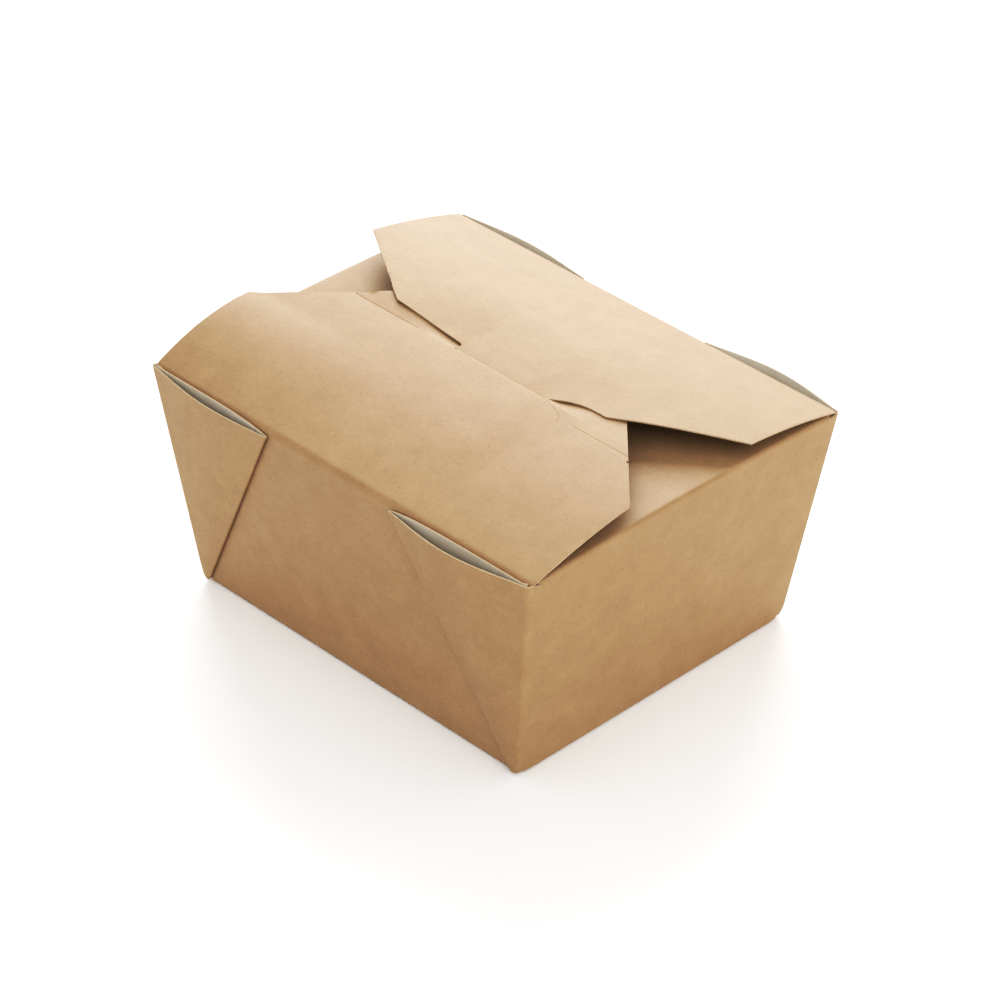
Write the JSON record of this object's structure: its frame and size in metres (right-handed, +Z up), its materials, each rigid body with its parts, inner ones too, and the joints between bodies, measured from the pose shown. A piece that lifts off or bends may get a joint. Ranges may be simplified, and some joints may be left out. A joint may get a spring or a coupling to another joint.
{
  "type": "takeaway box",
  "caption": "Folded card takeaway box with leaning walls, corner gussets, end flaps, a slotted flap and a locking flap with a tongue.",
  "frame": {"origin": "middle of the base, on the surface that the box stands on", "axes": "+X along the long side, +Y towards the wall that the locking flap hangs on, +Z up"},
  "size_m": [0.133, 0.1124, 0.0712],
  "materials": {
    "kraft_card": "uncoated brown kraft outside, thin coating inside",
    "kraft_card_flap": "uncoated brown kraft outside, thin coating inside"
  },
  "bodies": {
    "carton": {"carton": "kraft_card"},
    "locking_flap": {"locking_flap": "kraft_card_flap"}
  },
  "joints": [
    {"name": "locking_flap_hinge", "type": "hinge", "parent": "carton", "child": "locking_flap", "pos_m": [0, 0.05255, 0.0633], "axis": [-1, 0, 0], "range_deg": [0, 165]}
  ]
}
